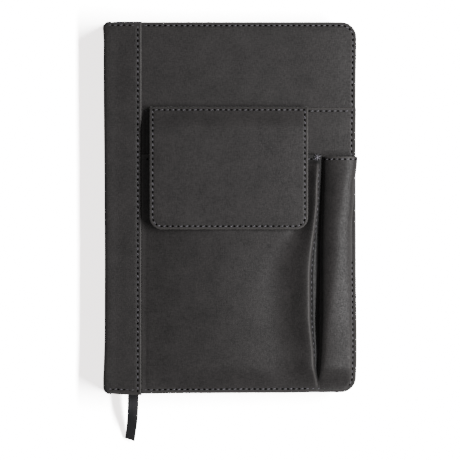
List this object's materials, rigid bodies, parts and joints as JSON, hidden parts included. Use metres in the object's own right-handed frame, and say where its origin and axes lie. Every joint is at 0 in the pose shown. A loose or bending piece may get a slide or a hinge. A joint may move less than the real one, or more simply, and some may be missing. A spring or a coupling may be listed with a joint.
{
  "type": "notebook",
  "caption": "Case-bound leather-covered notebook with a magnetic-flap phone pocket and a pen pocket sewn on its front cover, and a ribbon marker.",
  "frame": {"origin": "under the middle of the case, on the surface the back cover lies on", "axes": "+X from the spine to the fore edge, +Y from the tail to the head of the pages, +Z out of the front cover"},
  "size_m": [0.147, 0.2446, 0.0289],
  "materials": {
    "cover_leather": "matte soft-touch",
    "lining": "matte",
    "board": "matte greyboard",
    "paper": "matte uncoated paper",
    "endpaper": "matte",
    "thread": "satin sewing thread",
    "ribbon": "satin ribbon",
    "band": "woven",
    "mull": "woven",
    "magnet": "plated"
  },
  "bodies": {
    "back_case": {"back_board": "board", "back_cover_leather": "cover_leather", "back_lining": "lining", "back_pastedown": "endpaper", "spine_leather": "cover_leather", "spine_board": "board", "back_flyleaf": "endpaper", "page_section_1": "paper", "page_section_2": "paper", "page_section_3": "paper", "page_section_4": "paper", "page_section_5": "paper", "page_section_6": "paper", "spine_mull": "mull", "head_band": "band", "tail_band": "band", "ribbon_marker": "ribbon"},
    "front_cover": {"front_cover_leather": "cover_leather", "front_board": "board", "front_lining": "lining", "front_pastedown": "endpaper", "spine_lap_leather": "cover_leather", "spine_joint_leather": "cover_leather", "organiser_panel": "cover_leather", "phone_pocket_panel": "cover_leather", "pocket_magnet_plate": "magnet", "phone_pocket_pleat": "cover_leather", "pen_pocket": "cover_leather", "flap_sewn_edge": "cover_leather", "flap_fold": "cover_leather", "cover_edge_thread": "thread", "lap_thread": "thread", "organiser_thread": "thread", "flap_seam_thread": "thread", "bar_tack": "thread"},
    "flap": {"flap_lining": "lining", "flap_leather": "cover_leather", "flap_magnet": "magnet", "flap_thread": "thread"},
    "flyleaf": {"front_flyleaf": "endpaper"},
    "first_leaves": {"first_leaves": "paper"},
    "second_leaves": {"second_leaves": "paper"}
  },
  "joints": [
    {"name": "front_cover_hinge", "type": "hinge", "parent": "back_case", "child": "front_cover", "pos_m": [-0.0703, 0, 0.01535], "axis": [0, -1, 0], "range_deg": [0, 179], "deforming": ["spine_joint_leather"]},
    {"name": "flap_hinge", "type": "hinge", "parent": "front_cover", "child": "flap", "pos_m": [0, 0.054, 0.02305], "axis": [-1, 0, 0], "range_deg": [0, 179], "deforming": ["flap_fold"]},
    {"name": "flyleaf_turn", "type": "hinge", "parent": "back_case", "child": "flyleaf", "pos_m": [-0.0703, 0, 0.01535], "axis": [0, -1, 0], "range_deg": [0, 178]},
    {"name": "first_leaves_turn", "type": "hinge", "parent": "back_case", "child": "first_leaves", "pos_m": [-0.0703, 0, 0.01535], "axis": [0, -1, 0], "range_deg": [0, 176]},
    {"name": "second_leaves_turn", "type": "hinge", "parent": "back_case", "child": "second_leaves", "pos_m": [-0.0703, 0, 0.01535], "axis": [0, -1, 0], "range_deg": [0, 172]}
  ],
  "couplings": [
    {"joint": "flyleaf_turn", "follows": "front_cover_hinge", "ratio": 0.985},
    {"joint": "first_leaves_turn", "follows": "front_cover_hinge", "ratio": 0.97},
    {"joint": "second_leaves_turn", "follows": "front_cover_hinge", "ratio": 0.94}
  ]
}
